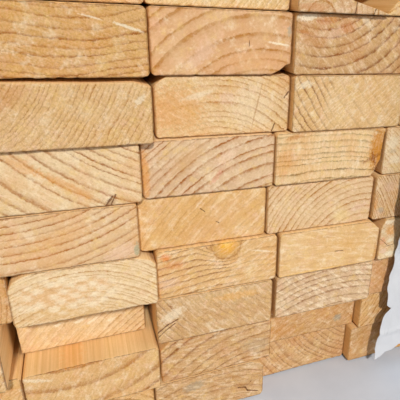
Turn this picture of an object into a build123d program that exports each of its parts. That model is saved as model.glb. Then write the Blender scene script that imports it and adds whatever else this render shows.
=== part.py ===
from build123d import *
from math import sqrt
import os

os.makedirs("parts", exist_ok=True)

# One stud, planed softwood, nominal 2 by 4 inches and 8 feet long.
stud_width = 89.0
stud_thickness = 38.0
stud_length = 2438.0
eased_edge = 3.0

# The bundle: studs laid flat, 16 side by side and 13 layers high.
columns = 16
layers = 13
side_gap = 0.6
layer_gap = 0.4
column_pitch = stud_width + side_gap
layer_pitch = stud_thickness + layer_gap

# Layers 1 to 9 from the bottom show their last four columns in close-up.
shown_layers = 9
shown_columns = 4
# Left edge of the first shown column in each layer, from the bundle's datum line. The layers
# lie a few millimetres to either side of one another, and a taller bundle repeats the spread.
row_start = (-105.5, -100.4, -106.2, -98.4, -108.1, -104.1, -95.5, -95.5, -95.5, -100.8, -96.3, -102.4, -98.6)
# Gaps between the shown columns. In layer 9 the last stud reaches under the wane of its neighbour.
shown_gaps = {
    1: (0.7, 0.4, 0.5),
    2: (1.0, 0.3, 0.8),
    3: (5.6, 3.3, 0.8),
    4: (0.3, 1.5, 1.2),
    5: (0.5, 0.6, 1.4),
    6: (0.7, 0.5, 0.8),
    7: (2.4, 0.8, 0.6),
    8: (1.4, 0.9, 0.6),
    9: (0.5, 0.7, -22.9),
}
# How far the end of each shown stud stands out in front of the bundle's end plane.
stand_out = {
    1: (0.5, 1.9, -16.4, -7.8),
    2: (4.8, 1.4, -14.5, -6.2),
    3: (-18.5, 2.5, 2.0, -2.2),
    4: (5.3, 2.1, 3.0, 3.5),
    5: (5.5, -0.7, 0.7, 2.1),
    6: (5.1, 1.0, 2.0, 1.7),
    7: (8.0, -2.0, 2.6, 0.9),
    8: (5.2, -0.5, 1.8, 2.0),
    9: (-1.1, -4.6, 5.4, 3.0),
}
# The column beside the shown ones stands out further in layer 3.
neighbour_stand_out = {2: 4.0, 3: 15.0, 4: -3.0}
# Every other end is within this much of the end plane.
stand_out_spread = 7.2

# Wane, torn corners and a thin stud, for a layer and a shown column: outlines cut off a section,
# from its lower left corner.
w = stud_width
t = stud_thickness
far = 2 * stud_width
wane = {
    (9, 3): [(w - 20, -1), (w - 22.5, 0.03 * t), (w - 30, 0.09 * t), (w - 40, 0.15 * t), (w - 51, 0.22 * t),
             (w - 60, 0.5 * t), (w - 64, t + 1), (far, t + 1), (far, -1)],
    (9, 4): [(0.6, -1), (2.5, 0.05 * t), (6, 0.18 * t), (12, 0.3 * t), (22, 0.68 * t), (28, t + 1), (-9, t + 1),
             (-9, -1)],
    (8, 2): [(w - 15, -1), (w - 13, 0.6), (w - 8, 2.6), (w - 3.5, 6.2), (w + 1, 7), (w + 1, -1)],
    (7, 1): [(-1, t - 0.9), (0.67 * w, t - 2.2), (0.9 * w, t - 2.0), (w + 1, t - 5), (w + 1, t + 1),
             (-1, t + 1)],
    (7, 2): [(-1, t - 8), (1.6, t - 4.4), (7, t - 0.8), (12, t + 1), (-1, t + 1)],
    (6, 3): [(w + 1, 0.96 * t), (w - 1.4, 0.88 * t), (w - 2.2, 0.34 * t), (w - 5, 0.15 * t), (w - 8.5, 0.03 * t),
             (w - 9, -1), (w + 1, -1)],
    (3, 1): [(4.8, -1), (4.2, t + 1), (-9, t + 1), (-9, -1)],
    (4, 1): [(-1, t - 13), (0.5, t - 10), (3, t - 5), (8, t - 2), (18, t + 0.5), (w - 20, t + 0.5), (w - 11, t - 0.8),
             (w - 4, t - 3), (w + 1, t - 9), (w + 1, t + 2), (-1, t + 2)],
    (4, 3): [(w - 10, t + 1), (w - 8.5, t - 0.5), (w + 1, t - 9), (w + 1, t + 1)],
    (4, 4): [(-1, t - 10), (0.6, t - 8), (4, t - 0.4), (5, t + 1), (-1, t + 1)],
    (2, 2): [(-1, t - 8), (1.5, t - 6), (7.5, t - 0.5), (9, t + 1), (-1, t + 1)],
    (1, 2): [(w - 12, t + 1), (w - 10, t - 0.3), (w - 3, t - 3.5), (w + 1, t - 8), (w + 1, t + 1)],
}

# Steel straps round the bundle, one at the middle and one near each end, each closed by a seal on the top.
strap_width = 19.0
strap_thickness = 0.8
strap_inset = 320.0
strap_bend = 0.6
strap_gap = 0.1
seal_length = 32.0
seal_wall = 0.8
seal_gap = 0.1
# A crimp nips a notch into both long edges of the seal, twice along its length.
crimp_depth = 3.0
crimp_places = (0.3, 0.7)
# How far each seal sits from the middle of the top.
seal_offset = (-120.0, -60.0, 0.0)

# What is left of the wrap: the right side, a turn over the top and a return round the end.
wrap_thickness = 1.2
wrap_gap = 0.4
wrap_turnover = 180.0
wrap_return = 83.0
wrap_return_offset = 2.0
wrap_lower_edge = 14.0
wrap_far_margin = 15.0


def left_of(layer, column):
    """Left edge of a stud: the row's start, then the widths and gaps up to it."""
    start = row_start[(layer - 1) % len(row_start)]
    shown = column - (columns - shown_columns) - 1
    if layer in shown_gaps and shown > 0:
        return start + shown * stud_width + sum(shown_gaps[layer][:shown])
    return start + shown * column_pitch


def front_of(layer, column):
    """Stand-out of a stud's end: measured where it shows, an even spread elsewhere."""
    shown = column - (columns - shown_columns) - 1
    if layer in stand_out and shown >= 0:
        return stand_out[layer][shown]
    if shown == -1 and layer in neighbour_stand_out:
        return neighbour_stand_out[layer]
    return ((37 * layer + 53 * column + 11 * layer * column) % 17 - 8) / 8 * stand_out_spread


def make_stud(layer, column, rounded):
    """One stud as a straight length of its section, its ends cut square."""
    section = Pos(stud_width / 2, stud_thickness / 2) * Rectangle(stud_width, stud_thickness)
    if rounded:
        section = fillet(section.vertices(), eased_edge)
    else:
        section = chamfer(section.vertices(), eased_edge * 0.75)
    shown = column - (columns - shown_columns)
    if (layer, shown) in wane:
        section = section - make_face(Polyline(wane[(layer, shown)], close=True))
    solid = extrude(Plane.XZ * section, amount=-stud_length)
    place = (left_of(layer, column), -front_of(layer, column), (layer - 1) * layer_pitch)
    return Pos(*place) * solid.solids()[0]


nodes = {}
for layer in range(1, layers + 1):
    first_shown = columns - shown_columns if layer <= shown_layers else columns
    row = [make_stud(layer, c, c > first_shown) for c in range(1, columns + 1)]
    nodes["layer_%02d_studs" % layer] = Compound(children=row[:first_shown])
    for place, solid in enumerate(row[first_shown:], first_shown + 1):
        nodes["stud_layer_%02d_place_%02d" % (layer, place)] = solid

# The studs' own outline, which the wrap and the straps go round.
edges_left = [left_of(n, 1) for n in range(1, layers + 1)]
edges_right = [left_of(n, columns) + stud_width for n in range(1, layers + 1)]
side_left = min(edges_left)
side_right = max(edges_right)
top = layers * layer_pitch - layer_gap
wrap_side = side_right + wrap_gap
wrap_top = top + wrap_gap


def plate(x0, x1, y0, y1, z0, z1):
    """A box between two corners."""
    return Pos((x0 + x1) / 2, (y0 + y1) / 2, (z0 + z1) / 2) * Box(x1 - x0, y1 - y0, z1 - z0)


front_plane = -max(front_of(n, columns) for n in range(1, layers + 1)) - wrap_return_offset
wrap_end = stud_length - wrap_far_margin
outer_side = wrap_side + wrap_thickness
outer_top = wrap_top + wrap_thickness
wrap = plate(wrap_side, outer_side, front_plane, wrap_end, wrap_lower_edge, outer_top)
wrap += plate(outer_side - wrap_turnover, outer_side, 0, wrap_end, wrap_top, outer_top)
wrap += plate(outer_side - wrap_return, outer_side, front_plane - wrap_thickness, front_plane,
              wrap_lower_edge, outer_top)
nodes["wrap"] = wrap.solids()[0]

# A strap is a flat band bent round the bundle, its outer corners eased where it turns over the studs' edges.
in_left = side_left - strap_gap
in_right = outer_side + strap_gap
in_bottom = -strap_gap
in_top = outer_top + strap_gap
strap_width_across = in_right - in_left
strap_height = in_top - in_bottom
strap_centre = Pos((in_left + in_right) / 2, (in_bottom + in_top) / 2)
inner = Rectangle(strap_width_across, strap_height)
outer = Rectangle(strap_width_across + 2 * strap_thickness, strap_height + 2 * strap_thickness)
ring = strap_centre * (chamfer(outer.vertices(), strap_bend) - inner)

strap_places = (strap_inset, stud_length / 2, stud_length - strap_inset)
for number, place in enumerate(strap_places, 1):
    solid = extrude(Plane.XZ * ring, amount=-strap_width)
    nodes["strap_%d" % number] = Pos(0, place - strap_width / 2, 0) * solid.solids()[0]
    strap_top = in_top + strap_thickness
    seal_x = (in_left + in_right) / 2 + seal_offset[number - 1]
    half = strap_width / 2 + seal_gap
    seal = plate(seal_x, seal_x + seal_length, place - half - seal_wall, place + half + seal_wall,
                 in_top, strap_top + seal_gap + seal_wall)
    seal -= plate(seal_x - 1, seal_x + seal_length + 1, place - half, place + half,
                  in_top - 1, strap_top + seal_gap)
    for share in crimp_places:
        for edge in (place - half - seal_wall, place + half + seal_wall):
            notch = Box(crimp_depth * sqrt(2), crimp_depth * sqrt(2), 10 * seal_wall)
            seal -= Pos(seal_x + share * seal_length, edge, strap_top) * Rot(0, 0, 45) * notch
    nodes["seal_%d" % number] = seal.solids()[0]

# Everything is moved so that the frame's origin is at the middle of the bundle's underside.
box = Compound(children=[Compound(children=n.solids()) for n in nodes.values()]).bounding_box()
shift = Pos(-(box.min.X + box.max.X) / 2, -(box.min.Y + box.max.Y) / 2, -box.min.Z)
for name, shape in nodes.items():
    moved = shift * Compound(children=shape.solids())
    export_step(moved, "parts/%s.step" % name)
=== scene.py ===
import bpy
import numpy as np
from mathutils import Matrix, Vector


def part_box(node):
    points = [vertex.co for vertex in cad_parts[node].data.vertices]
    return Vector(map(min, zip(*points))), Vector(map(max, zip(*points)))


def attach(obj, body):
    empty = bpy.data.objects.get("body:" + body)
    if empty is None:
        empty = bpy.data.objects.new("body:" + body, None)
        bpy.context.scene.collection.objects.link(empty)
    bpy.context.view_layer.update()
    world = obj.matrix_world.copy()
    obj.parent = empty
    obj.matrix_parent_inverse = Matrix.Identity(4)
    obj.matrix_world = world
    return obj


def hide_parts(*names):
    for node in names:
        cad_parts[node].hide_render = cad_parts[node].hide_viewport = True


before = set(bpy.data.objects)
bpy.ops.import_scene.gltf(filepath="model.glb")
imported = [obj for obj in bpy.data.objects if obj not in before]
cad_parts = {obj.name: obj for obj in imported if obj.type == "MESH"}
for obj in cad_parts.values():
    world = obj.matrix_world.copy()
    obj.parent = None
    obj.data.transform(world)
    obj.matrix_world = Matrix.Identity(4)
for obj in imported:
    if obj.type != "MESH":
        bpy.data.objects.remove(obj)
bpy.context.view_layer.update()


# The view of the bundle's near end: a hand-held camera 0.3 m from the ends, turned to the right
# and tipped down. Its lens and its sideways shift are those that the close-up was framed with.
frame_pixels, focal_pixels, middle_pixels = 400, 466.975, 279.558
camera = bpy.data.objects.new("camera", bpy.data.cameras.new("camera"))
camera.data.sensor_width = 36.0
camera.data.lens = focal_pixels / frame_pixels * camera.data.sensor_width
camera.data.shift_x = (frame_pixels / 2 - middle_pixels) / frame_pixels
camera.data.clip_start, camera.data.clip_end = 0.01, 50
turn, tip, roll = 0.41660191, 0.39914183, 0.05239305
ahead = Vector((np.sin(turn) * np.cos(tip), np.cos(turn) * np.cos(tip), -np.sin(tip)))
level = Vector((np.cos(turn), -np.sin(turn), 0))
over = level.cross(ahead)
right = level * np.cos(roll) + over * np.sin(roll)
upward = over * np.cos(roll) - level * np.sin(roll)
stand_at = Matrix.Translation((0.413155, -1.505587, 0.312606))
camera.matrix_world = stand_at @ Matrix((right, upward, -ahead)).transposed().to_4x4()
bpy.context.scene.collection.objects.link(camera)
bpy.context.scene.camera = camera


# The studs whose ends show in close-up: planed pine two-by-fours, each replaced by one closed skin.
# The end is as the trim saw left it, with fuzz, saw marks and nicks along its arrises; the sides are planed.
# Sizes are in millimetres in the finish, and in metres in the mesh.
stud_width, stud_thickness = 89.0, 38.0


def end_outline(node):
    """The outline of a stud's end as (edge, end, (x, z)): the edges that only one triangle of its end face has."""
    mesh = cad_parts[node].data
    points = np.empty(len(mesh.vertices) * 3)
    mesh.vertices.foreach_get("co", points)
    points = points.reshape(-1, 3)
    mesh.calc_loop_triangles()
    corners = np.empty(len(mesh.loop_triangles) * 3, dtype=np.int32)
    mesh.loop_triangles.foreach_get("vertices", corners)
    corners = corners.reshape(-1, 3)
    at_end = points[:, 1] < points[:, 1].min() + 1e-5
    corners = corners[at_end[corners].all(axis=1)]
    pairs = np.concatenate([corners[:, [0, 1]], corners[:, [1, 2]], corners[:, [2, 0]]])
    # As whole micrometres, all above nought, each corner is one number, and equal edges can be counted.
    micrometres, lift = 1e6, 10**7
    flat = np.round(points[pairs][:, :, [0, 2]] * micrometres).astype(np.int64) + lift
    keys = np.sort(flat[:, :, 0] * 10**9 + flat[:, :, 1], axis=1)
    _, first, count = np.unique(keys, axis=0, return_index=True, return_counts=True)
    return (flat[first[count == 1]] - lift) / micrometres


def reach(outline, heights):
    """Leftmost and rightmost point of the outline at each height, where its edges cross that height."""
    a, b = outline[:, 0], outline[:, 1]
    rise = np.where(np.abs(b[:, 1] - a[:, 1]) < 1e-9, np.nan, b[:, 1] - a[:, 1])
    share = (heights[:, None] - a[:, 1]) / rise
    cross = np.where((share >= 0) & (share <= 1), a[:, 0] + share * (b[:, 0] - a[:, 0]), np.nan)
    return np.nanmin(cross, axis=1), np.nanmax(cross, axis=1)


def unevenness(dice, x, z, size):
    """Smooth random heights from -1 to 1: random numbers on a lattice of that size, blended by cubic steps."""
    table = dice.uniform(-1, 1, (64, 64))
    gx, gz = x / size + 3.3, z / size + 3.7
    ix, iz = np.floor(gx).astype(int), np.floor(gz).astype(int)
    fx, fz = gx - ix, gz - iz
    fx, fz = fx * fx * (3 - 2 * fx), fz * fz * (3 - 2 * fz)
    low = table[ix % 64, iz % 64] * (1 - fx) + table[(ix + 1) % 64, iz % 64] * fx
    high = table[ix % 64, (iz + 1) % 64] * (1 - fx) + table[(ix + 1) % 64, (iz + 1) % 64] * fx
    return low * (1 - fz) + high * fz


def grid_quads(index):
    """The four-cornered faces of a grid of point numbers, one between each two rows and columns."""
    return np.stack([index[:-1, :-1], index[:-1, 1:], index[1:, 1:], index[1:, :-1]], axis=2).reshape(-1, 4)


def piece_of(name, points, faces):
    """A smooth piece of that name from its points and faces, which are where they belong."""
    mesh = bpy.data.meshes.new(name)
    mesh.from_pydata(points, [], faces)
    mesh.shade_smooth()
    mesh.update()
    piece = bpy.data.objects.new(name, mesh)
    bpy.context.scene.collection.objects.link(piece)
    return piece


def stud_skin(node, number, by_columns=False):
    """One stud as a closed mesh. The end is a grid over the section; its border is carried along the length.
    A grid point lies at a share across the outline at its height. Nicks pull the border in and back at the
    ends and fade over a few millimetres along the stud. A thin stud is gridded by columns, not rows."""
    dice = np.random.default_rng(number)
    outline = end_outline(node)
    low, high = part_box(node)
    if by_columns:
        outline = outline[:, :, ::-1]
    bottom, top = outline[:, :, 1].min(), outline[:, :, 1].max()
    # Rows and columns lie about a millimetre apart, and closer at the arrises.
    row_pitch = 0.00085
    near = np.array([0.02, 0.2, 0.5, 1.0, 1.7, 2.6]) / 1000
    inner = np.linspace(bottom + 0.0035, top - 0.0035, int(round((top - bottom) / row_pitch)) - 8)
    heights = np.concatenate([bottom + near, inner, top - near[::-1]])
    across = np.concatenate([[0, 0.004, 0.011, 0.02, 0.03], np.linspace(0.04, 0.96, 86),
                             [0.97, 0.98, 0.989, 0.996, 1]])
    share, height = np.meshgrid(across, heights)
    row_left, row_right = (np.broadcast_to(edge[:, None], share.shape) for edge in reach(outline, heights))

    nick_left, nick_right, nick_low, nick_top = (dice.uniform(-1, 1, 96) for _ in range(4))
    nick_size, long_nick_size, nick_reach, nick_fade = 0.0023, 0.0024, 0.0012, 0.003

    def nicked(table, along, size):
        """How deep the nicks are along one arris, in metres: a smoothed random run above a threshold."""
        place = along / size
        i = np.floor(place).astype(int)
        f = place - i
        f = f * f * (3 - 2 * f)
        run = table[i % 96] * (1 - f) + table[(i + 1) % 96] * f
        return (np.clip(run - 0.45, 0, 1) * 0.9 + 0.10 + 0.08 * run) / 1000

    def placed(share, height, row_left, row_right, amount):
        """(x, z) of points of the section, the arrises drawn in by that amount of their nicks."""
        inner_left = row_left + nicked(nick_left, height - bottom, nick_size) * amount
        inner_right = row_right - nicked(nick_right, height - bottom, nick_size) * amount
        x = inner_left + share * (inner_right - inner_left)
        low_pull = nicked(nick_low, x - row_left.min(), long_nick_size) * np.exp(-(height - bottom) / nick_reach)
        top_pull = nicked(nick_top, x - row_left.min(), long_nick_size) * np.exp(-(top - height) / nick_reach)
        return x, height + (low_pull - top_pull) * amount

    x, z = placed(share, height, row_left, row_right, 1.0)
    local_x, local_z = x - row_left.min(), z - bottom
    inset = np.minimum(np.minimum(x - row_left, row_right - x), np.minimum(height - bottom, top - height))
    # How far the sawn face lies behind the end plane, in millimetres: swells, fuzz, tooth marks and torn arrises.
    angle, tooth_pitch = dice.uniform(0.5, 1.2), 0.0026
    travel = (local_x * np.cos(angle) + local_z * np.sin(angle)) / tooth_pitch
    teeth = np.sin(travel * 2 * np.pi + 2 * unevenness(dice, local_x, local_z, 0.02))
    torn = np.clip(unevenness(dice, local_x, local_z, 0.007) - 0.2, 0, 1)
    back = (0.22 * unevenness(dice, local_x, local_z, 0.022) + 0.14 * unevenness(dice, local_x, local_z, 0.004)
            + 0.10 * unevenness(dice, local_x, local_z, 0.0014) + 0.05 * teeth + 0.25
            + (0.25 + 1.0 * torn) * np.exp(-np.clip(inset, 0, 1) / 0.0006)) / 1000
    y = low[1] + back
    first, second = (z, x) if by_columns else (x, z)
    grid = np.stack([first, y, second], axis=2).reshape(-1, 3)
    rows, columns = share.shape
    index = np.arange(rows * columns).reshape(rows, columns)
    border = np.concatenate([index[0, :-1], index[:-1, -1], index[-1, :0:-1], index[:0:-1, 0]])

    # The sides: the border again at each station along the stud, its unevenness gone within 10 mm.
    length, settled = high[1] - low[1], 0.01
    stations = np.array([0.5, 1.4, 3.5, 10, 60, 500, 1219, 1938, 2380, 2428, 2434.5, 2437.0, 2437.95]) / 1000
    rings = []
    for station in stations:
        depth = min(station, length - station)
        bx, bz = placed(share.flat[border], height.flat[border], row_left.flat[border], row_right.flat[border],
                        np.exp(-depth / nick_fade))
        by = np.full(bx.shape, low[1] + station)
        if station < settled:
            by = by + (y.flat[border] - low[1]) * (1 - station / settled)
        rings.append(np.stack([bz, by, bx] if by_columns else [bx, by, bz], axis=1))
    points = np.concatenate([grid] + rings)
    n = len(border)
    loops = np.vstack([border] + [rows * columns + s * n + np.arange(n) for s in range(len(stations))])
    after = np.roll(loops, -1, axis=1)
    sides = np.stack([loops[:-1], loops[1:], after[1:], after[:-1]], axis=2).reshape(-1, 4)
    faces = np.concatenate([grid_quads(index), sides])
    cap = loops[-1][::-1]
    if by_columns:
        faces, cap = faces[:, ::-1], cap[::-1]
    return piece_of(node + "_sawn", points, faces.tolist() + [cap.tolist()])


def new_finish(name):
    """A material of that name, with its node tree and its shader."""
    material = bpy.data.materials.new(name)
    material.use_nodes = True
    return material, material.node_tree, material.node_tree.nodes["Principled BSDF"]


def srgb(r, g, b):
    """A colour of 0 to 255 as the linear values that nodes take."""
    c = np.array([r, g, b]) / 255
    return (*np.where(c <= 0.04045, c / 12.92, ((c + 0.055) / 1.055) ** 2.4), 1.0)


def put(tree, socket, value):
    """Sets a socket to a number or colour, or joins it to another node's socket."""
    if isinstance(value, bpy.types.NodeSocket):
        tree.links.new(value, socket)
    else:
        socket.default_value = value


def add(tree, kind, inputs=(), settings=()):
    """A new node of that kind, with its settings and its inputs by name or number."""
    node = tree.nodes.new("ShaderNode" + kind)
    for name, value in dict(settings).items():
        setattr(node, name, value)
    for name, value in dict(inputs).items():
        put(tree, node.inputs[name], value)
    return node


def sum_of(tree, operation, *values, clamp=False):
    """One step of arithmetic."""
    return add(tree, "Math", enumerate(values), {"operation": operation, "use_clamp": clamp}).outputs[0]


def times(tree, first, *others):
    """The product of two values or more."""
    for value in others:
        first = sum_of(tree, "MULTIPLY", first, value)
    return first


def less(tree, first, second):
    """The first value less the second."""
    return sum_of(tree, "SUBTRACT", first, second)


def shaken(tree, value, noise, amount):
    """A value moved either way by a noise: value + amount * (noise - 0.5)."""
    return sum_of(tree, "MULTIPLY_ADD", less(tree, noise, 0.5), amount, value)


def between(tree, value, low, high, to_low=0.0, to_high=1.0, smooth=True):
    """A value carried from one range to another, eased at its ends and held beyond them."""
    return add(tree, "MapRange", {0: value, 1: low, 2: high, 3: to_low, 4: to_high},
               {"interpolation_type": "SMOOTHSTEP" if smooth else "LINEAR"}).outputs[0]


def point_of(tree, x, y, z=0.0):
    """Two or three numbers as one point."""
    return add(tree, "CombineXYZ", {0: x, 1: y, 2: z}).outputs[0]


def split(tree, point):
    """A point, or a colour's channels, as three numbers."""
    return add(tree, "SeparateXYZ", {0: point}).outputs


def length_of(tree, across, up):
    """How far the point (across, up) is from nought."""
    return add(tree, "VectorMath", {0: point_of(tree, across, up)}, {"operation": "LENGTH"}).outputs["Value"]


def millimetres_from(tree, x, y, z):
    """Where a point of the piece lies, in millimetres, from a corner that is given in millimetres too."""
    return add(tree, "Mapping", {"Vector": add(tree, "TexCoord").outputs["Object"], "Scale": (1000, 1000, 1000),
                                 "Location": (-x, -y, -z)}).outputs[0]


def turned_by(tree, point, degrees):
    """A point turned about the stud's length."""
    return add(tree, "Mapping", {"Vector": point, "Rotation": (0, np.radians(degrees), 0)}).outputs[0]


def noise_of(tree, vector, scale, detail, roughness, colour=False):
    """Soft random values from 0 to 1 over a vector."""
    node = add(tree, "TexNoise", {"Vector": vector, "Scale": scale, "Detail": detail, "Roughness": roughness})
    return node.outputs["Color" if colour else 0]


def blend_of(tree, amount, first, second):
    """Two colours blended, each another node's or red, green and blue from 0 to 255."""
    node = add(tree, "Mix", {0: amount}, {"data_type": "RGBA"})
    for number, colour in ((6, first), (7, second)):
        put(tree, node.inputs[number], srgb(*colour) if isinstance(colour, tuple) else colour)
    return node.outputs[2]


def ramp_of(tree, value, stops):
    """A value turned into a colour, straight between stops of (place, colour) that run from 0 to 1."""
    node = add(tree, "ValToRGB", {0: value})
    elements = node.color_ramp.elements
    elements[0].color, elements[1].color = stops[0][1], stops[-1][1]
    for place, colour in stops[1:-1]:
        elements.new(place).color = colour
    return node.outputs[0]


def ring_number(tree, radius, radii):
    """The number of the growth ring at a distance from the pith: straight between the measured ring edges."""
    first, span = radii[0], radii[-1] - radii[0]
    share = add(tree, "FloatCurve", {1: sum_of(tree, "DIVIDE", less(tree, radius, first), span)})
    share.mapping.use_clip = False
    share.mapping.extend = "EXTRAPOLATED"
    curve = share.mapping.curves[0]
    last = len(radii) - 1
    for number, edge in enumerate(radii[1:-1], 1):
        curve.points.new((edge - first) / span, number / last)
    for point in curve.points:
        point.handle_type = "VECTOR"
    share.mapping.update()
    return times(tree, share.outputs[0], last)


def ring_darkness(tree, radius, rings, drawn, offset, contrast):
    """How dark the growth rings are at a distance from the pith, from 0 to 1. The ring's number comes from measured
    edges or from one width, with some rings wider than others; its fraction is pale early wood that darkens to the
    late edge. Each ring has a strength of its own, and so has each place."""
    if isinstance(rings, list):
        phase = sum_of(tree, "ADD", ring_number(tree, radius, rings), 40.0)
    else:
        phase = sum_of(tree, "DIVIDE", radius, rings)
        widths = add(tree, "TexNoise", {"W": sum_of(tree, "ADD", phase, offset), "Scale": 0.35, "Detail": 1.0},
                     {"noise_dimensions": "1D"}).outputs[0]
        phase = sum_of(tree, "ADD", sum_of(tree, "MULTIPLY_ADD", widths, 1.6, phase), offset)
    within_ring = ((0.0, 0.45), (0.06, 0.0), (0.25, 0.0), (0.55, 0.06), (0.76, 0.28), (0.88, 0.95), (0.96, 1.0),
                   (1.0, 0.75))
    profile = ramp_of(tree, sum_of(tree, "FRACT", phase), [(place, (v, v, v, 1)) for place, v in within_ring])
    own = add(tree, "TexWhiteNoise", {"W": sum_of(tree, "ADD", sum_of(tree, "FLOOR", phase), offset)},
              {"noise_dimensions": "1D"}).outputs[0]
    return times(tree, profile, between(tree, own, 0, 1, 0.6 * contrast, 1.15 * contrast, smooth=False),
                 between(tree, noise_of(tree, drawn, 0.11, 3.0, 0.6), 0.28, 0.66, 0.6, 1.1),
                 between(tree, noise_of(tree, drawn, 0.6, 4.0, 0.7), 0.36, 0.6, 0.75, 1.1))


def patch_share(tree, x, z, ragged, patch_x, patch_z, half_width, half_height, slope):
    """How much of a patch lies at a place: 1 within a tilted oval round its middle, 0 past its ragged edge."""
    cos, sin = float(np.cos(np.radians(slope))), float(np.sin(np.radians(slope)))
    gap_x, gap_z = less(tree, x, patch_x), less(tree, z, patch_z)
    along = sum_of(tree, "ADD", times(tree, gap_x, cos / half_width), times(tree, gap_z, sin / half_width))
    across = sum_of(tree, "ADD", times(tree, gap_z, cos / half_height), times(tree, gap_x, -sin / half_height))
    return between(tree, shaken(tree, length_of(tree, along, across), ragged, 2.2), 0.45, 1.15, 1, 0)


def crack_share(tree, x, z, waver, from_x, from_z, to_x, to_z, width):
    """How much of a crack lies at a place: 1 on the line between its two ends, 0 beyond its wavering width."""
    run_x, run_z = float(to_x - from_x), float(to_z - from_z)
    gap_x, gap_z = less(tree, x, from_x), less(tree, z, from_z)
    along = sum_of(tree, "DIVIDE", sum_of(tree, "ADD", times(tree, gap_x, run_x), times(tree, gap_z, run_z)),
                   run_x * run_x + run_z * run_z, clamp=True)
    far = length_of(tree, less(tree, gap_x, times(tree, along, run_x)), less(tree, gap_z, times(tree, along, run_z)))
    return between(tree, shaken(tree, far, waver, 1.6), width * 0.3, width * 1.1, 1, 0)


def dab_share(tree, x, z, spot, slope, pitch_along, pitch_across, middle_x, middle_z, reach_x, reach_z, most):
    """How much of the pale dabs lies at a place. Where two sets of saw lanes cross they leave a staggered lattice of
    ovals with that slope and those pitches, as far as the reach from the middle, and at most that strong."""
    turned = split(tree, turned_by(tree, spot, slope))
    along, up = sum_of(tree, "DIVIDE", turned[0], pitch_along), sum_of(tree, "DIVIDE", turned[2], pitch_across)
    cell = point_of(tree, sum_of(tree, "ADD", along, up), less(tree, along, up))
    oval = add(tree, "TexVoronoi", {"Vector": cell, "Scale": 1.0, "Randomness": 0.4},
               {"voronoi_dimensions": "2D"}).outputs["Distance"]
    oval = shaken(tree, oval, noise_of(tree, spot, 0.5, 5.0, 0.8), 1.1)
    apart = length_of(tree, sum_of(tree, "DIVIDE", less(tree, x, middle_x), reach_x),
                      sum_of(tree, "DIVIDE", less(tree, z, middle_z), reach_z))
    return times(tree, between(tree, oval, 0.1, 0.56, most, 0), between(tree, apart, 0.7, 1.1, 1, 0))


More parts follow.
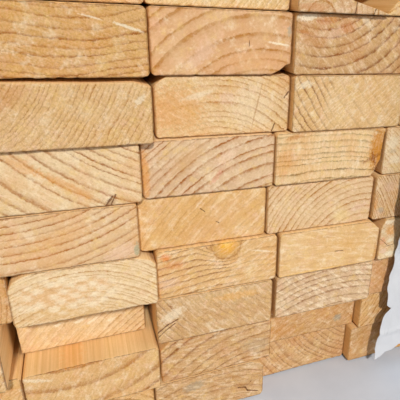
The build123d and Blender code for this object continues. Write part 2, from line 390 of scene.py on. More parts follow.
def pine_finish(tree, shader, spot, pith, rings, early, late, stain, contrast=1.0, wander=1.6, offset=0.0, knot=None,
                cracks=(), patches=(), lanes=(30, 2.2, 0.3, 6), fuzz=0.5, grit=1.0, fade=None, dabs=None):
    """Pine, by millimetres from the stud's lower left near corner. The distance from the pith, bent by noise and by a
    knot, gives the rings, which go from early to late wood. Over them lie a stain, warmer and paler places, patches,
    saw lanes, dabs, fuzz and cracks on the end, a dark rim at the arrises that is partly grime and partly painted
    shade, and painted shade on the narrow sides near the end."""
    x, y, z = split(tree, spot)
    facing = split(tree, add(tree, "TexCoord").outputs["Normal"])
    on_end = between(tree, sum_of(tree, "ABSOLUTE", facing[1]), 0.5, 0.8)
    on_side = sum_of(tree, "ABSOLUTE", facing[0])

    # The noise is drawn out along the stud, and each stud has a stretch of its own.
    drawn = point_of(tree, x, sum_of(tree, "MULTIPLY_ADD", y, 0.02, times(tree, offset, 13.7)), z)
    drift = split(tree, noise_of(tree, drawn, 0.035, 1.5, 0.45, colour=True))
    shake = split(tree, noise_of(tree, drawn, 0.35, 3.0, 0.65, colour=True))
    tremor = split(tree, noise_of(tree, drawn, 1.1, 3.0, 0.7, colour=True))
    moved = []
    for axis, here, centre in ((0, x, pith[0]), (2, z, pith[1])):
        value = shaken(tree, less(tree, here, centre), drift[axis], wander * 2)
        value = shaken(tree, value, shake[axis], 2.4)
        moved.append(shaken(tree, value, tremor[axis], 0.9 * grit))
    radius = length_of(tree, sum_of(tree, "MULTIPLY_ADD", y, 0.006, moved[0]), moved[1])
    if knot:
        knot_x, knot_z, knot_size, bend = knot
        far = length_of(tree, less(tree, x, knot_x), less(tree, z, knot_z))
        far = shaken(tree, shaken(tree, far, shake[0], 5.0), tremor[0], 2.5)
        radius = sum_of(tree, "ADD", radius, times(tree, between(tree, far, 0, knot_size * 2.2, 1, 0), bend))
        from_knot = sum_of(tree, "DIVIDE", far, knot_size)

    darkness = times(tree, ring_darkness(tree, radius, rings, drawn, offset, contrast),
                     sum_of(tree, "MULTIPLY_ADD", on_end, 0.6, 0.4))
    if fade:
        full, faint, least = fade
        darkness = times(tree, darkness, between(tree, x, full, faint, 1.0, least) if faint > full
                         else between(tree, x, faint, full, least, 1.0))
    colour = blend_of(tree, darkness, early, late)
    cloud = between(tree, noise_of(tree, drawn, 0.04, 4.0, 0.6), 0.42, 0.66)
    colour = blend_of(tree, times(tree, cloud, 0.3), colour, stain)

    # Fresh pine is never one colour: it turns pinker, yellower and whiter from place to place.
    turning = add(tree, "SeparateColor", {0: noise_of(tree, drawn, 0.13, 5.0, 0.72, colour=True)}).outputs
    for channel, shade, most in ((0, (240, 198, 166), 0.5), (1, (240, 204, 134), 0.55), (2, (252, 232, 198), 0.55)):
        share = times(tree, between(tree, turning[channel], 0.5, 0.72, 0.0, most), on_end)
        colour = blend_of(tree, share, colour, shade)
    if knot:
        heart = ((0.0, (252, 206, 110)), (0.18, (250, 190, 84)), (0.42, (232, 172, 96)), (0.6, (224, 176, 112)),
                 (0.7, (212, 164, 106)), (0.77, (184, 128, 76)), (0.84, (222, 178, 122)), (1.0, (226, 186, 134)))
        heart = [(place, srgb(*shade)) for place, shade in heart]
        grown = ramp_of(tree, sum_of(tree, "DIVIDE", from_knot, 1.3), heart)
        colour = blend_of(tree, between(tree, from_knot, 1.0, 1.25, 0.85, 0), colour, grown)
    ragged = noise_of(tree, spot, 0.45, 5.0, 0.72)
    for *oval, shade, most in patches:
        share = times(tree, patch_share(tree, x, z, ragged, *oval), most)
        # A patch whose middle lies above the end is on the stud's upper face, and the others are on the end.
        if oval[1] <= stud_thickness:
            share = times(tree, share, on_end)
        colour = blend_of(tree, share, colour, shade)

    # Saw lanes: the teeth crushed the soft early wood pale in slanting lanes, and left fine dark pores between.
    lane_slope, lane_pitch, lane_share, lane_length = lanes
    stretch = (1.0 / (lane_pitch * lane_length), 0.3, 1.0 / lane_pitch)
    laid = add(tree, "VectorMath", {0: turned_by(tree, spot, lane_slope), 1: stretch},
               {"operation": "MULTIPLY"}).outputs[0]
    lane = noise_of(tree, laid, 1.0, 4.0, 0.66)
    soft = sum_of(tree, "MULTIPLY_ADD", darkness, -0.9, 1.0, clamp=True)
    crushed = times(tree, between(tree, lane, 0.5, 0.62), soft, lane_share * 0.62, on_end)
    colour = blend_of(tree, crushed, colour, (251, 232, 198))
    if dabs:
        colour = blend_of(tree, times(tree, dab_share(tree, x, z, spot, *dabs), on_end), colour, chip)
    fluff = times(tree, between(tree, noise_of(tree, spot, 0.5, 6.0, 0.82), 0.54, 0.66), soft, fuzz * 0.42, on_end)
    colour = blend_of(tree, fluff, colour, (252, 232, 196))
    pore = times(tree, between(tree, noise_of(tree, laid, 2.3, 5.0, 0.8), 0.54, 0.68), 0.44 * grit, on_end)
    colour = blend_of(tree, pore, colour, (160, 106, 60))

    # Lightness and relief: the lanes and a fine fibre on the end, and streaks along the planed faces.
    mark = times(tree, less(tree, lane, 0.5), times(tree, on_end, 0.4 * lane_share))
    fibre = times(tree, less(tree, noise_of(tree, spot, 0.75, 6.0, 0.85), 0.5),
                  sum_of(tree, "MULTIPLY_ADD", on_end, 0.8 * grit - 0.1, 0.2))
    streak = noise_of(tree, point_of(tree, x, times(tree, y, 0.01), z), 0.8, 4.0, 0.7)
    streak = times(tree, less(tree, streak, 0.5), sum_of(tree, "MULTIPLY_ADD", on_end, -0.4, 0.55))
    value = sum_of(tree, "ADD", sum_of(tree, "ADD", mark, fibre), sum_of(tree, "ADD", streak, 1.0))
    depth = times(tree, darkness, 0.05)
    for crack in cracks:
        share = times(tree, crack_share(tree, x, z, shake[0], *crack), on_end)
        colour = blend_of(tree, times(tree, share, 0.8), colour, (112, 66, 36))
        depth = less(tree, depth, times(tree, share, 0.5))

    # The end is darkened along its arrises: partly grime, partly painted shade of the dark gaps between studs.
    # The planed faces are paler and plainer. Close to the near end the narrow sides are painted a deeper orange:
    # painted shade in the gaps between studs, with the warm light the studs throw on one another.
    inset = sum_of(tree, "MINIMUM", sum_of(tree, "MINIMUM", x, less(tree, stud_width, x)),
                   sum_of(tree, "MINIMUM", z, less(tree, stud_thickness, z)))
    # Painted shade: the end darkened towards its arrises, where the gaps between studs look dark; partly grime too.
    rim = shaken(tree, inset, noise_of(tree, spot, 0.4, 4.0, 0.7), 1.6)
    colour = blend_of(tree, times(tree, between(tree, rim, 0.0, 1.3, 0.7, 0.0), on_end), colour, (104, 58, 26))
    colour = blend_of(tree, sum_of(tree, "MULTIPLY_ADD", on_end, -0.45, 0.45), colour, (246, 216, 164))
    # Painted shade: the narrow sides a deeper orange within 90 mm of the near end, for the shaded gaps between studs.
    colour = blend_of(tree, times(tree, between(tree, y, 25, 90, 0.45, 0.0), on_side), colour, (206, 142, 62))
    toned = add(tree, "HueSaturation", {"Saturation": sum_of(tree, "MULTIPLY_ADD", value, -0.8, 1.85), "Value": value,
                                        "Color": colour}).outputs[0]
    put(tree, shader.inputs["Base Color"], toned)
    depth = sum_of(tree, "ADD", depth, sum_of(tree, "ADD", times(tree, mark, 0.6), times(tree, fibre, 0.9)))
    bump = add(tree, "Bump", {"Height": depth, "Distance": 0.001, "Strength": 0.9})
    put(tree, shader.inputs["Normal"], bump.outputs[0])
    put(tree, shader.inputs["Roughness"], between(tree, darkness, 0, 1, 0.8, 0.65))
    shader.inputs["Specular IOR Level"].default_value = 0.25


# The pine's tones: early wood, late wood, and what stains, torn fibres and bark make of it.
cream, straw, corn = (238, 210, 168), (236, 203, 156), (246, 212, 156)
honey, gold, peach = (230, 189, 136), (226, 180, 122), (220, 172, 128)
rosy, clay, earth, buff = (222, 188, 152), (212, 170, 122), (206, 162, 114), (228, 194, 152)
tan, amber, umber, olive = (184, 126, 66), (164, 100, 46), (140, 84, 40), (150, 122, 78)
orange, rust, bark, pale = (226, 158, 88), (208, 138, 88), (196, 122, 48), (240, 214, 172)
chip, pink, ash = (252, 236, 206), (236, 200, 172), (170, 164, 150)

# Where the first of the shown studs starts in each layer, in millimetres from a datum line, and the gaps after it.
# The datum line lies 458.7 mm to the right of the bundle's middle.
row_start = (-105.5, -100.4, -106.2, -98.4, -108.1, -104.1, -95.5, -95.5, -95.5, -100.8, -96.3, -102.4, -98.6)
shown_gaps = ((0.7, 0.4, 0.5), (1.0, 0.3, 0.8), (5.6, 3.3, 0.8), (0.3, 1.5, 1.2), (0.5, 0.6, 1.4), (0.7, 0.5, 0.8),
              (2.4, 0.8, 0.6), (1.4, 0.9, 0.6), (0.5, 0.7, -22.9))
datum, first_shown_place = 458.7, 13

# Layer, place: the pith in millimetres from the end's lower left corner, the rings' edges as distances from it or one
# ring's width, early wood, late wood, stain, and what else that end shows. A patch is its middle, its half width and
# half height, slope, colour and share; a crack is its two ends and its width; a knot is its middle, its size and how
# far it bends the rings; lanes are slope, pitch, share and how long they are for their pitch; a fade is how far
# across the end the rings are plain, how far across they are faint, and what is left of them there.
growth = {
    (9, 13): ((40, -60), 4.0, honey, tan, orange, {}),
    (9, 14): ((-30, 90), 3.2, corn, tan, pale, {"contrast": 0.5, "fuzz": 1.0, "lanes": (50, 1.5, 0.8, 4)}),
    (9, 15): ((17, -3), [4, 10.5, 17, 22, 26, 30, 34, 38, 42, 47], buff, tan, rust, {
        "wander": 0.8,
        "cracks": [(41, 0, 42, 10, 0.5), (55, 0, 57, 6, 0.4)],
        "patches": [(12, 3, 12, 3, 0, rust, 0.5)]}),
    (9, 16): ((-20, 60), 4.5, corn, tan, orange, {}),
    (8, 13): ((45, 193), [152, 157, 162, 168, 173.6, 178, 182, 187, 191, 194], gold, amber, orange, {
        "wander": 3.5, "contrast": 0.9, "fuzz": 0.15, "lanes": (-20, 1.875, 0.2, 6),
        "patches": [(60, 31.5, 6, 0.6, -14, chip, 0.7), (79, 26.8, 10, 0.9, -17, chip, 0.8),
                    (48, 17, 22, 3, 0, orange, 0.35)]}),
    (8, 14): ((69, -51), [48, 55, 61.5, 67.5, 76.6, 87.4, 94, 102.9, 108, 113, 118], peach, tan, pale, {
        "wander": 0.9, "contrast": 1.4, "grit": 0.35, "fuzz": 0.08, "lanes": (35, 1.9, 0.1, 6),
        "patches": [(80, 19, 9, 0.8, -8, chip, 0.8), (87, 27, 2, 4, 0, ash, 0.6), (30, 12, 14, 5, 40, pink, 0.5),
                    (62, 8, 22, 6, 0, (226, 172, 122), 0.5)],
        "cracks": [(60, 16.5, 60.4, 25, 0.14)]}),
    (8, 15): ((21, 77), [44, 49, 54, 60, 65.7, 73.2, 81.3, 89.3, 95], clay, umber, rust, {
        "contrast": 0.9, "fuzz": 0.6, "lanes": (-45, 2.6, 0.4, 8), "fade": (20, 8, 0.5),
        "patches": [(22, 34, 9, 3, 8, rust, 0.6), (37, 30, 8, 4, 20, rust, 0.55), (5, 27, 5, 1.5, -10, rust, 0.5),
                    (8, 35.5, 9, 2.5, 8, chip, 0.9), (52, 34, 8, 3, -40, chip, 0.5), (28, 26, 7, 4, 30, pink, 0.5)]}),
    (8, 16): ((-30, 60), 5.0, honey, tan, orange, {}),
    (7, 13): ((-45, 80), 3.0, honey, tan, pale, {
        "contrast": 0.8, "fuzz": 0.3, "lanes": (58, 1.5, 0.3, 9), "wander": 2.5,
        "patches": [(82, 26, 5, 2, 50, chip, 0.6), (12, 28, 18, 6, 30, rust, 0.35)]}),
    (7, 14): ((35, -52), [50, 54, 58.1, 61.7, 65, 68.2, 74.6, 79.6, 84.7, 88, 91.4, 95.7], straw, tan, orange, {
        "contrast": 0.95, "grit": 0.8, "fade": (48, 18, 0.25), "lanes": (-35, 2.2, 0.3, 5),
        "patches": [(62, 18, 16, 18, 0, chip, 0.3), (14, 18, 20, 16, 0, orange, 0.5), (26, 26, 12, 2, 15, chip, 0.5),
                    (46, 24, 6, 5, 0, pink, 0.5), (66, 19, 19, 0.6, 77, (196, 146, 98), 0.6)],
        "cracks": [(85, 23, 88, 27, 0.6), (77, 1, 79, 6, 0.5)]}),
    (7, 15): ((201, 148), [172.8, 179, 186, 193, 201, 208.4, 213.5, 218.2, 222.6, 227.7, 233.1, 237.3], honey, umber,
              pale, {
        "contrast": 0.8, "fade": (22, 34, 0.3), "lanes": (40, 1.875, 0.5, 6),
        "patches": [(8, 32, 7, 2.5, 10, chip, 0.6)]}),
    (7, 16): ((-30, 60), 4.5, straw, tan, orange, {}),
    (6, 13): ((141, 146), [121, 126, 130.8, 135.8, 140.6, 143.8, 150, 157, 163, 168.3, 180, 187], cream, amber,
              orange, {
        "wander": 1.0, "grit": 0.7, "lanes": (-38, 2.2, 0.3, 6),
        "patches": [(47, 15, 22, 3, -35, orange, 0.5), (25, 30, 12, 4, -35, orange, 0.4),
                    (70, 2, 5, 3, 60, (150, 100, 60), 0.5)],
        "cracks": [(66, -1, 71, 6, 0.7), (70, 1, 73, 7, 0.4)]}),
    (6, 14): ((101, -80), [84, 89.8, 98.9, 106.9, 111.5, 118.5, 124.3, 130.1, 134.5, 139, 143.4, 146.7, 150], rosy,
              amber, pale, {
        "contrast": 1.1, "wander": 0.9, "fuzz": 0.35, "grit": 0.6, "lanes": (40, 2.2, 0.25, 6),
        "patches": [(28, 24, 16, 6, 40, (214, 168, 116), 0.5), (2, 16, 3, 18, 0, orange, 0.6),
                    (48, 11, 8, 2, 50, (226, 160, 134), 0.5), (55, 24, 10, 4, 40, pink, 0.5)]}),
    (6, 15): ((30, -300), 4.4, straw, olive, orange, {
        "contrast": 0.9, "wander": 3.0, "grit": 0.7, "lanes": (88, 2.2, 0.35, 6),
        "patches": [(6, 16, 9, 12, 0, orange, 0.45), (14, 35, 8, 2, 10, bark, 0.5),
                    (83.5, 22, 8, 20, 0, (206, 140, 66), 0.95), (80, 15, 2, 10, -66, (150, 84, 28), 0.6),
                    (81, 14, 1.6, 8, 20, (146, 80, 26), 0.8), (85, 6, 4, 3, 0, (124, 62, 26), 0.8)]}),
    (6, 16): ((-60, -60), 3.0, cream, tan, orange, {
        "contrast": 0.6, "lanes": (-60, 2.25, 0.5, 6),
        "patches": [(7, 26, 6, 6, 0, chip, 0.6), (10, 12, 6, 4, 0, chip, 0.5), (8, 19, 4, 2, 0, ash, 0.3)]}),
    (5, 13): ((14, 146), [104, 109, 113.5, 118.5, 122.4, 127, 132.5, 137.8, 145, 149.7, 154], buff, amber, orange, {
        "contrast": 0.9, "wander": 1.2, "grit": 0.5, "lanes": (20, 2.2, 0.2, 6),
        "patches": [(78, 6, 13, 6, 15, pink, 0.6), (87, 6, 2, 6, 0, (150, 160, 130), 0.6),
                    (45, 22, 22, 6, 15, (226, 166, 104), 0.35)]}),
    (5, 14): ((148, -86), 4.5, gold, tan, pale, {
        "contrast": 0.45, "fuzz": 0.3, "grit": 0.55, "lanes": (48, 5.0, 0.4, 7),
        "patches": [(50, 14, 30, 12, 30, (222, 168, 116), 0.35)],
        "cracks": [(41, 27, 44, 24.5, 0.4), (52, 15.5, 54, 14.5, 0.4)]}),
    (5, 15): ((81, -31), [38.7, 45, 50.4, 55.5, 60.9, 65.5, 69.5, 74.9, 79, 82.5, 85.9, 88.2, 92, 96, 100], buff, tan,
              pale, {
        "contrast": 1.05, "wander": 0.8, "grit": 0.7, "lanes": (-30, 2.2, 0.25, 6),
        "patches": [(63, 8, 9, 5, 0, (238, 208, 150), 0.6), (78, 13, 10, 3, 20, pink, 0.6)]}),
    (5, 16): ((-120, -60), 2.2, buff, amber, orange, {
        "contrast": 1.3, "wander": 1.0, "lanes": (-59, 2.2, 0.4, 8),
        "patches": [(8, 8, 3, 4, 50, ash, 0.45), (14, 28, 7, 5, 0, pink, 0.5), (2, 14, 2, 6, 0, orange, 0.5)]}),
    (4, 13): ((37, -48), 2.7, cream, tan, pale, {
        "contrast": 0.8, "fuzz": 0.2, "grit": 0.6, "wander": 1.5, "lanes": (14, 3.6, 0.5, 2.2),
        "dabs": (-6, 12.5, 8.5, 34, 19, 34, 16, 0.6),
        "patches": [(26, 19, 26, 9, -6, (230, 184, 134), 0.7), (30, 5, 32, 6, -4, (226, 182, 124), 0.6),
                    (50, 24, 14, 5, -10, (232, 188, 140), 0.5)]}),
    (4, 14): ((60, -280), [290, 295.5, 300, 305, 310.5, 316, 320, 324], honey, umber, orange, {
        "contrast": 0.95, "wander": 2.5, "grit": 0.7, "fuzz": 0.3, "knot": (49.5, 36, 11, 16), "fade": (46, 66, 0.35),
        "lanes": (30, 2.25, 0.5, 6),
        "patches": [(6, 33, 4, 3, 0, (236, 130, 60), 0.6), (12, 26, 9, 4, 0, (226, 150, 96), 0.5),
                    (8, 12, 9, 5, 0, pink, 0.5), (76, 26.5, 11, 0.8, -14, chip, 0.6)]}),
    (4, 15): ((40, -200), 6.0, honey, tan, pale, {
        "contrast": 0.3, "fuzz": 0.4, "grit": 0.6, "lanes": (-12, 3.4, 0.5, 5),
        "patches": [(60, 20, 18, 5, -10, (224, 176, 112), 0.5), (88, 8, 3, 12, 0, (196, 130, 60), 0.5),
                    (30, 1.5, 40, 1.2, 0, (246, 200, 130), 0.7)],
        "cracks": [(48, 16, 56, 15.4, 0.25)]}),
    (4, 16): ((-60, -60), 4.0, cream, tan, orange, {
        "contrast": 0.3, "fuzz": 0.8,
        "cracks": [(1, 20, 8, 14, 0.22), (7, 12.5, 15, 13.5, 0.2)],
        "patches": [(10, 27, 6, 5, 0, (240, 176, 112), 0.75), (3, 18, 4, 4, 0, (232, 168, 124), 0.7),
                    (12, 5, 6, 3, 0, chip, 0.9), (11, 18, 5, 2, 20, chip, 0.8), (5, 8, 4, 3, 0, pink, 0.8),
                    (7, 35, 6, 2, 0, chip, 0.8)]}),
    (3, 13): ((164, -99), 4.2, straw, tan, pale, {
        "contrast": 1.1, "fuzz": 0.4, "grit": 0.6, "lanes": (42, 2.6, 0.5, 6), "fade": (66, 50, 0.35),
        "patches": [(30, 19, 4, 1.4, 20, chip, 0.9), (44, 19, 5, 1.6, 20, chip, 0.9), (52, 17, 5, 1.2, 30, chip, 0.8),
                    (65, 15, 4, 1.4, 20, chip, 0.8)]}),
    (3, 14): ((136, 111), 5.0, clay, umber, pale, {
        "contrast": 0.75, "fuzz": 0.8, "lanes": (-50, 2.625, 0.5, 6), "fade": (10, 26, 0.45),
        "patches": [(12, 24, 12, 5, 30, chip, 0.6), (45, 1, 8, 1.5, 0, chip, 0.7),
                    (60, 30, 22, 4, 0, (236, 176, 96), 0.5)],
        "cracks": [(0, 10, 8, 16, 0.7), (8, 16, 15, 19, 0.7), (1, 6.5, 7, 12, 0.5), (7, 12, 13, 16, 0.5)]}),
    (3, 15): ((58, -98), [96, 101, 107.9, 115.5, 121, 126.3, 131, 135.8, 141], rosy, umber, pale, {
        "contrast": 0.9, "wander": 1.0, "lanes": (-35, 3, 0.9, 4)}),
    (3, 16): ((-30, -30), 4.0, peach, tan, orange, {"contrast": 0.5}),
    (2, 13): ((30, 99), [64, 80.3, 98.4, 108.9, 118], honey, amber, orange, {
        "contrast": 0.95, "wander": 1.5, "lanes": (60, 2.25, 0.3, 6),
        "patches": [(8, 33, 12, 1.6, -16, chip, 0.6), (31, 39, 9, 3, 0, (222, 146, 66), 0.9)]}),
    (2, 14): ((91, -82), [84, 91, 97, 103.3, 110, 118.1, 127, 137.1, 143], clay, umber, rust, {
        "contrast": 0.9, "wander": 1.2, "lanes": (-4, 2.25, 0.5, 6),
        "patches": [(76, 16, 14, 9, 0, (196, 172, 140), 0.5)]}),
    (2, 15): ((39, -24), [26, 32, 37.5, 44, 51.3, 58], earth, tan, orange, {
        "contrast": 0.6,
        "patches": [(72, 11, 5, 4, 20, (158, 152, 136), 0.7)]}),
    (2, 16): ((-50, 60), 4.0, honey, tan, orange, {}),
    (1, 13): ((45, -30), 5.0, honey, tan, orange, {}),
    (1, 14): ((50, -70), 5.5, earth, umber, pale, {
        "contrast": 0.6, "lanes": (-20, 2.25, 0.5, 6),
        "patches": [(30, 28, 10, 5, 15, (168, 152, 130), 0.6)],
        "cracks": [(67, 14, 73, 12.5, 0.9), (73, 12.5, 75, 8.5, 0.9), (75, 8.5, 84, 5, 0.8), (75, 15, 78, 18, 0.4)]}),
    (1, 15): ((120, 90), 4.5, clay, umber, rust, {"contrast": 0.7}),
    (1, 16): ((-30, 90), 4.0, earth, tan, orange, {"contrast": 0.5}),
}
for number, ((layer, place), (pith, rings, early, late, stain, more)) in enumerate(sorted(growth.items())):
    node = "stud_layer_%02d_place_%02d" % (layer, place)
    piece = stud_skin(node, number, by_columns=(layer, place) == (7, 13))
    finish, tree, shader = new_finish(node + "_pine")
    low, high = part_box(node)
    shown = place - first_shown_place
    left = row_start[layer - 1] + sum(shown_gaps[layer - 1][:shown]) + shown * stud_width + datum
    spot = millimetres_from(tree, left, 1000 * low[1], 1000 * low[2])
    pine_finish(tree, shader, spot, pith, rings, early, late, stain, offset=number * 7.31, **more)
    piece.data.materials.append(finish)
    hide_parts(node)
    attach(piece, "root")


# The rest of the 208 studs, a layer to a node: the same pine, each stud with its own heart and tone.
# The CAD solids stay; their material finds the stud that a point lies in from the row's start and pitch.
side_gap, layer_gap = 0.6, 0.4
column_pitch, layer_pitch = stud_width + side_gap, stud_thickness + layer_gap
near_end, underside = -1220.75, 0.9
for layer, start in enumerate(row_start, 1):
    finish, tree, shader = new_finish("layer_%02d_pine" % layer)
    first_left = start + datum - (first_shown_place - 1) * column_pitch
    layer_bottom = underside + (layer - 1) * layer_pitch
    x, y, z = split(tree, millimetres_from(tree, first_left - side_gap / 2, near_end, layer_bottom))
    column = sum_of(tree, "FLOOR", sum_of(tree, "DIVIDE", x, column_pitch))
    chance = add(tree, "TexWhiteNoise", {"W": sum_of(tree, "MULTIPLY_ADD", column, 1.37, layer * 31.7)},
                 {"noise_dimensions": "1D"}).outputs
    draw = add(tree, "SeparateColor", {0: chance["Color"]}).outputs
    spot = point_of(tree, sum_of(tree, "MULTIPLY_ADD", column, -column_pitch, x),
                    sum_of(tree, "MULTIPLY_ADD", column, 700.0, y), z)
    pith = [between(tree, draw[n], 0, 1, low, high, smooth=False) for n, low, high in ((0, -60, 150), (1, -90, 120))]
    ring_width = between(tree, chance["Value"], 0, 1, 3.0, 6.0, smooth=False)
    early = blend_of(tree, draw[2], straw, gold)
    pine_finish(tree, shader, spot, pith, ring_width, early, tan, orange, contrast=0.8,
                offset=times(tree, column, 3.7))
    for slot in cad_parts["layer_%02d_studs" % layer].material_slots:
        slot.material = finish


# The straps: blued steel band, 19 mm wide, drawn tight round the bundle, and the seals crimped over them on the top.
# Both stay as the CAD made them; the steel is dark and smooth with fine scratches along the band.
steel, tree, shader = new_finish("blued_steel")
metal = add(tree, "TexCoord").outputs["Object"]
scratch = noise_of(tree, add(tree, "Mapping", {"Vector": metal, "Scale": (60, 900, 60)}).outputs[0], 1.0, 4.0, 0.6)
smear = noise_of(tree, metal, 14.0, 3.0, 0.6)
tone = blend_of(tree, between(tree, smear, 0.35, 0.7), (70, 72, 78), (98, 96, 96))
tone = blend_of(tree, between(tree, scratch, 0.6, 0.75, 0, 0.5), tone, (150, 150, 152))
put(tree, shader.inputs["Base Color"], tone)
put(tree, shader.inputs["Roughness"], between(tree, smear, 0.3, 0.7, 0.32, 0.5))
shader.inputs["Metallic"].default_value = 0.85
scored = add(tree, "Bump", {"Height": scratch, "Distance": 0.00015, "Strength": 0.4})
put(tree, shader.inputs["Normal"], scored.outputs[0])
for number in (1, 2, 3):
    for name in ("strap_%d" % number, "seal_%d" % number):
        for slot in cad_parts[name].material_slots:
            slot.material = steel


# What is left of the wrap: thin woven plastic sheet down the right side, turned in over the top and round the near
# end, held by the straps. It is creased, bulges between the straps, and its torn edge hangs in front of the ends.
wrap_low, wrap_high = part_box("wrap")
near_plane, far_end = wrap_low[1], wrap_high[1]
side_plane, top_plane = wrap_high[0], wrap_high[2]
solid_thickness, cloth_thickness = 0.0012, 0.0005
strap_at = [(low[1] + high[1]) / 2 for low, high in (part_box("strap_%d" % number) for number in (1, 2, 3))]
dice = np.random.default_rng(11)


def freedom(y):
    """How free the cloth is along the bundle: 0 within 13 mm of a strap's middle, and 1 from 43 mm on."""
    free = np.ones_like(y)
    for place in strap_at:
        free = free * np.clip((np.abs(y - place) - 0.013) / 0.03, 0, 1)
    return free


def wrap_grid():
    """The wrap's surface as points and quads. A wall follows the plan of the near return, the corner and the side,
    from the torn edge to the far end, at heights from the lower edge to the top; a flap carries its top edge inwards.
    Creases are smooth random waves that die out at the straps, and the torn edge and lower edge wander."""
    corner_round, turn_length, flap_width = 0.006, 0.009, 0.178
    return_plane = near_plane + solid_thickness
    top = top_plane - solid_thickness / 2
    side_length = far_end - near_plane - corner_round
    side_run = np.concatenate([np.linspace(0, 0.06, 24), np.linspace(0.066, side_length, 190)])
    height = np.linspace(0, 1, 120) ** 1.5
    # The torn edge in millimetres: heights above the ground, and how far round the end the cloth reaches there.
    edge_heights = (8, 21, 32, 43, 56, 64, 67.5, 71, 76, 96, 114, 125, 136, 150, 170, 500)
    edge_reach = (81.6, 83.2, 83.4, 82.0, 80.8, 80.0, 73.0, 76.0, 79.4, 80.4, 78.6, 78.2, 79.0, 81.5, 84.0, 82.0)
    # The lower edge: distances in from the side, and heights above the ground there.
    lower_inset, lower_height = (0, 20, 56.6, 63.5, 71.1, 77.4, 82, 180), (14.8, 20, 19.5, 14.5, 14.7, 10.2, 9.4, 9.4)
    v, run = np.meshgrid(height, np.linspace(0, 1, 84) ** 1.3, indexing="ij")
    level = wrap_low[2] + v * (top - wrap_low[2])
    edge = (np.interp(level * 1000, edge_heights, edge_reach) + 0.9 * unevenness(dice, level * 0, level, 0.0042)
            + 0.5 * unevenness(dice, level * 0, level, 0.011)) / 1000
    inset = corner_round + (1 - run) * (edge - corner_round)
    from_edge = edge - inset
    lower = np.interp(inset * 1000, lower_inset, lower_height)
    lower = (lower + 0.8 * unevenness(dice, inset, inset * 0, 0.004)) / 1000
    x_return = side_plane - inset
    z_return = lower + v * (top - lower)
    billow = (1.1 * unevenness(dice, x_return, z_return, 0.03) + 0.55 * unevenness(dice, x_return, z_return, 0.011)
              + 0.22 * unevenness(dice, x_return, z_return, 0.004))
    # A sharp fold runs across the return 37 mm up, and the torn edge curls forwards and back.
    fold = -1.6 * np.exp(-np.abs(z_return - (0.0372 + 0.04 * from_edge)) / 0.0014)
    curl = 1.6 * np.exp(-from_edge / 0.005) * unevenness(dice, z_return * 0, z_return, 0.018)
    # From 118 to 470 mm up, the loose cloth stands off the ends.
    loose = np.clip((z_return - 0.118) / 0.032, 0, 1) * np.clip((0.47 - z_return) / 0.12, 0, 1)
    stand_off = 7.3 * loose * loose * (3 - 2 * loose) * np.clip(inset / 0.06, 0, 1)
    y_return = return_plane + ((billow + fold + curl) * np.clip(inset / 0.02, 0, 1) - stand_off) / 1000
    returned = np.stack([x_return, y_return, z_return], axis=2)
    # The corner and the side.
    v, along = np.meshgrid(height, side_run, indexing="ij")
    angle = np.clip(along / turn_length, 0, 1) * np.pi / 2
    x_side = side_plane - corner_round + corner_round * np.sin(angle)
    y_side = return_plane + corner_round * (1 - np.cos(angle)) + np.clip(along - turn_length, 0, None)
    y_side = np.minimum(y_side, far_end)
    from_near = np.clip((y_side - near_plane) / 0.05, 0, 1)
    lower = lower_height[0] / 1000 + 0.003 * unevenness(dice, y_side, y_side * 0, 0.05) * from_near
    z_side = lower + v * (top - lower)
    crease = 1 - np.abs(unevenness(dice, y_side + 0.6 * z_side, 0.5 * z_side - 0.2 * y_side, 0.1))
    bulge = (1.8 + 2.0 * unevenness(dice, y_side, z_side, 0.16) + 1.3 * unevenness(dice, y_side * 0.6, z_side, 0.03)
             + 0.5 * unevenness(dice, y_side, z_side, 0.012) + 2.6 * crease ** 8)
    bulge = np.clip(bulge, 0, 7) * 0.0009 * freedom(y_side) * from_near * np.clip((1 - v) / 0.05, 0, 1)
    x_side = x_side - solid_thickness / 2 + bulge
    wall = np.concatenate([returned, np.stack([x_side, y_side, z_side], axis=2)[:, 1:]], axis=1)
    # The flap over the top, from the side's top edge.
    first = returned.shape[1] - 1 + int(np.searchsorted(side_run, 0.012))
    rim = wall[-1, first:]
    inward, rim_x = np.meshgrid(np.linspace(0, 1, 30)[1:], rim[:, 0], indexing="ij")
    rim_y = np.broadcast_to(rim[:, 1], inward.shape)
    flap_x = rim_x - inward * (flap_width + 0.004 * unevenness(dice, rim_y, rim_y * 0, 0.03))
    lift = 0.5 + 1.2 * unevenness(dice, flap_x, rim_y * 0.5, 0.04) + 0.6 * unevenness(dice, flap_x, rim_y, 0.014)
    flap_z = rim[:, 2] + np.clip(lift, 0, 3) / 1000 * freedom(rim_y) * np.clip(inward / 0.06, 0, 1)
    flap = np.stack([flap_x, rim_y, flap_z], axis=2)
    wall_index = np.arange(wall[:, :, 0].size).reshape(wall.shape[:2])
    flap_index = wall_index.size + np.arange(flap[:, :, 0].size).reshape(flap.shape[:2])
    flap_index = np.concatenate([wall_index[-1:, first:], flap_index])
    points = np.concatenate([wall.reshape(-1, 3), flap.reshape(-1, 3)])
    return points, np.concatenate([grid_quads(wall_index), grid_quads(flap_index)])


wrap_points, wrap_quads = wrap_grid()
wrap_sheet = piece_of("wrap_sheet", wrap_points, wrap_quads.tolist())
cloth_wall = wrap_sheet.modifiers.new("cloth", "SOLIDIFY")
cloth_wall.thickness, cloth_wall.offset = cloth_thickness, -1.0

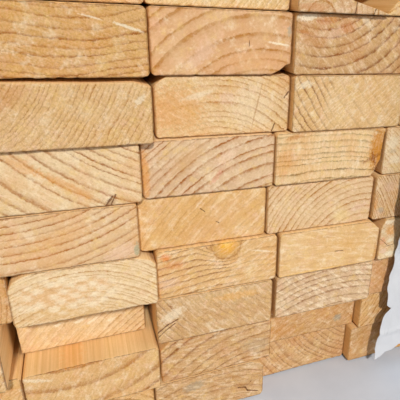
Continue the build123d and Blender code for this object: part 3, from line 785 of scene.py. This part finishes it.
woven, tree, shader = new_finish("woven_wrap")
cloth = add(tree, "TexCoord").outputs["Object"]
tapes = []
for tilt in (0, np.pi / 2):
    at = add(tree, "Mapping", {"Vector": cloth, "Rotation": (0, tilt, 0), "Scale": (1000, 1000, 1000)}).outputs[0]
    tapes.append(add(tree, "TexWave", {"Vector": at, "Scale": 0.35, "Distortion": 0.6, "Detail": 1.0},
                     {"bands_direction": "Z"}).outputs[1])
weave = sum_of(tree, "MAXIMUM", *tapes)
soil = noise_of(tree, cloth, 3.0, 6.0, 0.6)
crush = noise_of(tree, cloth, 30.0, 6.0, 0.62)
tone = blend_of(tree, between(tree, soil, 0.4, 0.75), (216, 218, 223), (200, 200, 201))
tone = blend_of(tree, between(tree, crush, 0.5, 0.8, 0, 0.3), tone, (234, 235, 238))
tone = blend_of(tree, between(tree, weave, 0.3, 0.9, 0.12, 0.0), tone, (150, 150, 152))
put(tree, shader.inputs["Base Color"], tone)
put(tree, shader.inputs["Roughness"], between(tree, crush, 0.3, 0.7, 0.42, 0.6))
relief = sum_of(tree, "ADD", times(tree, crush, 0.6), times(tree, weave, 0.12))
crumpled = add(tree, "Bump", {"Height": relief, "Distance": 0.001, "Strength": 0.7})
put(tree, shader.inputs["Normal"], crumpled.outputs[0])
wrap_sheet.data.materials.append(woven)
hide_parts("wrap")
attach(wrap_sheet, "root")


# The floor: plain, pale and matt, half a millimetre under the bundle.
# It is there for the light and the shadow only.
reach_out, drop = 12, -0.0005
floor = piece_of("floor", [(x * reach_out, y * reach_out, drop) for x, y in ((-1, -1), (1, -1), (1, 1), (-1, 1))],
                 [(0, 1, 2, 3)])
ground, tree, shader = new_finish("pale_floor")
grit = noise_of(tree, add(tree, "TexCoord").outputs["Object"], 9.0, 5.0, 0.6)
tone = blend_of(tree, between(tree, grit, 0.3, 0.7), (192, 200, 213), (205, 212, 224))
put(tree, shader.inputs["Base Color"], tone)
shader.inputs["Roughness"].default_value = 0.9
shader.inputs["Specular IOR Level"].default_value = 0.1
floor.data.materials.append(ground)


# Soft studio light: an even surround, a broad key from in front and a little above, and weak fills from the sides
# and from behind.
world = bpy.data.worlds.new("studio")
bpy.context.scene.world = world
world.use_nodes = True
surround = world.node_tree.nodes["Background"].inputs
surround["Color"].default_value = (1.0, 0.97, 0.93, 1)
surround["Strength"].default_value = 0.17
warm, white = (1.0, 0.97, 0.92), (1, 1, 1)
for name, strength, spread, direction, tint in (("key", 2.5, 5, (0.10, 1.0, -0.78), warm),
                                                ("fill_right", 0.9, 50, (-0.8, 0.35, -0.4), white),
                                                ("fill_left", 0.12, 50, (0.8, 0.3, -0.4), white),
                                                ("fill_behind", 1.0, 60, (0.3, -0.85, -0.45), white)):
    lamp = bpy.data.objects.new(name, bpy.data.lights.new(name, "SUN"))
    lamp.data.energy = strength
    lamp.data.angle = np.radians(spread)
    lamp.data.color = tint
    lamp.rotation_mode = "QUATERNION"
    lamp.rotation_quaternion = Vector(direction).to_track_quat("-Z", "Y")
    bpy.context.scene.collection.objects.link(lamp)
bpy.context.scene.view_settings.view_transform = "Standard"
